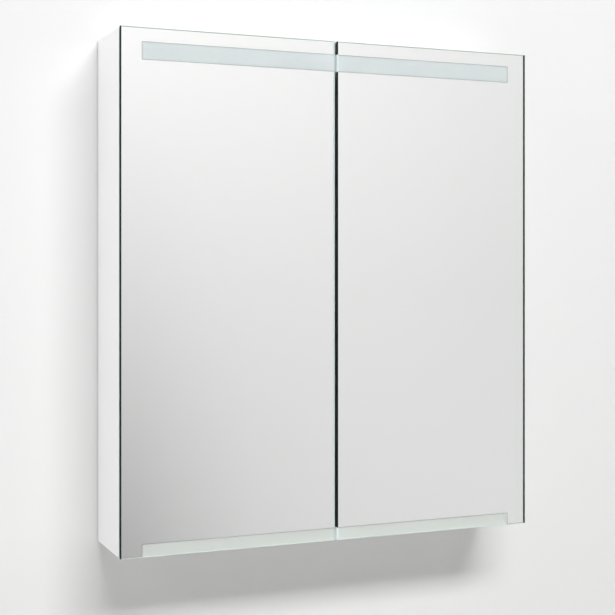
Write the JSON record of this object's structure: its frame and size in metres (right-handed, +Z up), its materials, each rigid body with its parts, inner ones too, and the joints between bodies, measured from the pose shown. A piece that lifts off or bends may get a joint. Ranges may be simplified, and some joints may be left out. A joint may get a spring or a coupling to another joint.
{
  "type": "mirror cabinet",
  "caption": "Wall-hung mirror cabinet with two hinged double-sided mirror doors, a frosted light window along the top and a frosted lower edge strip.",
  "frame": {"origin": "on the wall plane, in the middle of the width, at the height of the underside", "axes": "+X to the right seen from the front, +Y into the wall, +Z up"},
  "size_m": [0.6, 0.123, 0.68],
  "materials": {
    "white_lacquer": "painted",
    "white_hdf": "painted",
    "spruce": "natural",
    "beech": "natural",
    "mirror_glass": "silvered",
    "clear_film": "clear",
    "clear_glass": "clear",
    "nickel_steel": "nickel plated",
    "zinc_steel": "zinc plated",
    "die_cast": "nickel plated",
    "white_sheet_steel": "powder coated",
    "anodised_aluminium": "anodised",
    "opal_acrylic": "opal",
    "circuit_board": "solder resist",
    "white_plastic": "moulded",
    "black_rubber": "moulded",
    "clear_rubber": "clear",
    "white_cable": "extruded"
  },
  "bodies": {
    "carcass": {"back_panel": "white_hdf", "bottom_led_board": "circuit_board", "bottom_light_diffuser": "opal_acrylic", "bottom_light_profile": "anodised_aluminium", "bottom_panel": "white_lacquer", "cable_clips": "white_plastic", "cable_grommet": "black_rubber", "carcass_dowels": "beech", "door_bumpers": "clear_rubber", "driver_feed_cable": "white_cable", "driver_screws": "zinc_steel", "led_driver": "white_plastic", "left_hinge_arm_pins": "nickel_steel", "left_hinge_arms": "die_cast", "left_hinge_plates": "nickel_steel", "left_hinge_screws": "zinc_steel", "left_side_panel": "white_lacquer", "lower_hanging_rail": "spruce", "lower_light_cable": "white_cable", "lower_shelf": "clear_glass", "rail_dowels": "beech", "right_hinge_arm_pins": "nickel_steel", "right_hinge_arms": "die_cast", "right_hinge_plates": "nickel_steel", "right_hinge_screws": "zinc_steel", "right_side_panel": "white_lacquer", "shelf_pins": "nickel_steel", "switch_box": "white_plastic", "switch_cable": "white_cable", "switch_screws": "zinc_steel", "terminal_block": "white_plastic", "terminal_screw": "zinc_steel", "top_led_board": "circuit_board", "top_light_diffuser": "opal_acrylic", "top_light_housing": "white_sheet_steel", "top_light_screws": "zinc_steel", "top_panel": "white_lacquer", "upper_hanging_rail": "spruce", "upper_shelf": "clear_glass"},
    "left_door": {"left_front_mirror": "mirror_glass", "left_bond_film": "clear_film", "left_back_mirror": "mirror_glass", "left_hinge_bosses": "die_cast", "left_hinge_boss_pins": "nickel_steel"},
    "left_outer_link": {"left_outer_links": "nickel_steel"},
    "left_inner_link": {"left_inner_links": "nickel_steel"},
    "right_door": {"right_front_mirror": "mirror_glass", "right_bond_film": "clear_film", "right_back_mirror": "mirror_glass", "right_hinge_bosses": "die_cast", "right_hinge_boss_pins": "nickel_steel"},
    "right_outer_link": {"right_outer_links": "nickel_steel"},
    "right_inner_link": {"right_inner_links": "nickel_steel"},
    "switch_rocker": {"switch_rocker": "white_plastic"}
  },
  "joints": [
    {"name": "left_outer_link_swing", "type": "hinge", "parent": "carcass", "child": "left_outer_link", "pos_m": [-0.2407, -0.1048, 0.33], "axis": [0, 0, 1], "range_deg": [-0.5, 59.47]},
    {"name": "left_inner_link_swing", "type": "hinge", "parent": "carcass", "child": "left_inner_link", "pos_m": [-0.2547, -0.1116, 0.33], "axis": [0, 0, 1], "range_deg": [-0.5, 80.11]},
    {"name": "left_door_swing", "type": "hinge", "parent": "left_outer_link", "child": "left_door", "pos_m": [-0.2786, -0.1026, 0.33], "axis": [0, 0, -1], "range_deg": [0, 150.97]},
    {"name": "right_outer_link_swing", "type": "hinge", "parent": "carcass", "child": "right_outer_link", "pos_m": [0.2407, -0.1048, 0.33], "axis": [0, 0, -1], "range_deg": [-0.5, 59.47]},
    {"name": "right_inner_link_swing", "type": "hinge", "parent": "carcass", "child": "right_inner_link", "pos_m": [0.2547, -0.1116, 0.33], "axis": [0, 0, -1], "range_deg": [-0.5, 80.11]},
    {"name": "right_door_swing", "type": "hinge", "parent": "right_outer_link", "child": "right_door", "pos_m": [0.2786, -0.1026, 0.33], "axis": [0, 0, 1], "range_deg": [0, 150.97]},
    {"name": "switch_rocker_tilt", "type": "hinge", "parent": "carcass", "child": "switch_rocker", "pos_m": [-0.2725, -0.052, 0.505], "axis": [0, -1, 0], "range_deg": [0, 14]}
  ],
  "couplings": [
    {"joint": "left_outer_link_swing", "follows": "left_door_swing", "ratio": 0.39059},
    {"joint": "left_inner_link_swing", "follows": "left_door_swing", "ratio": 0.52733},
    {"joint": "right_outer_link_swing", "follows": "right_door_swing", "ratio": 0.39059},
    {"joint": "right_inner_link_swing", "follows": "right_door_swing", "ratio": 0.52733}
  ]
}
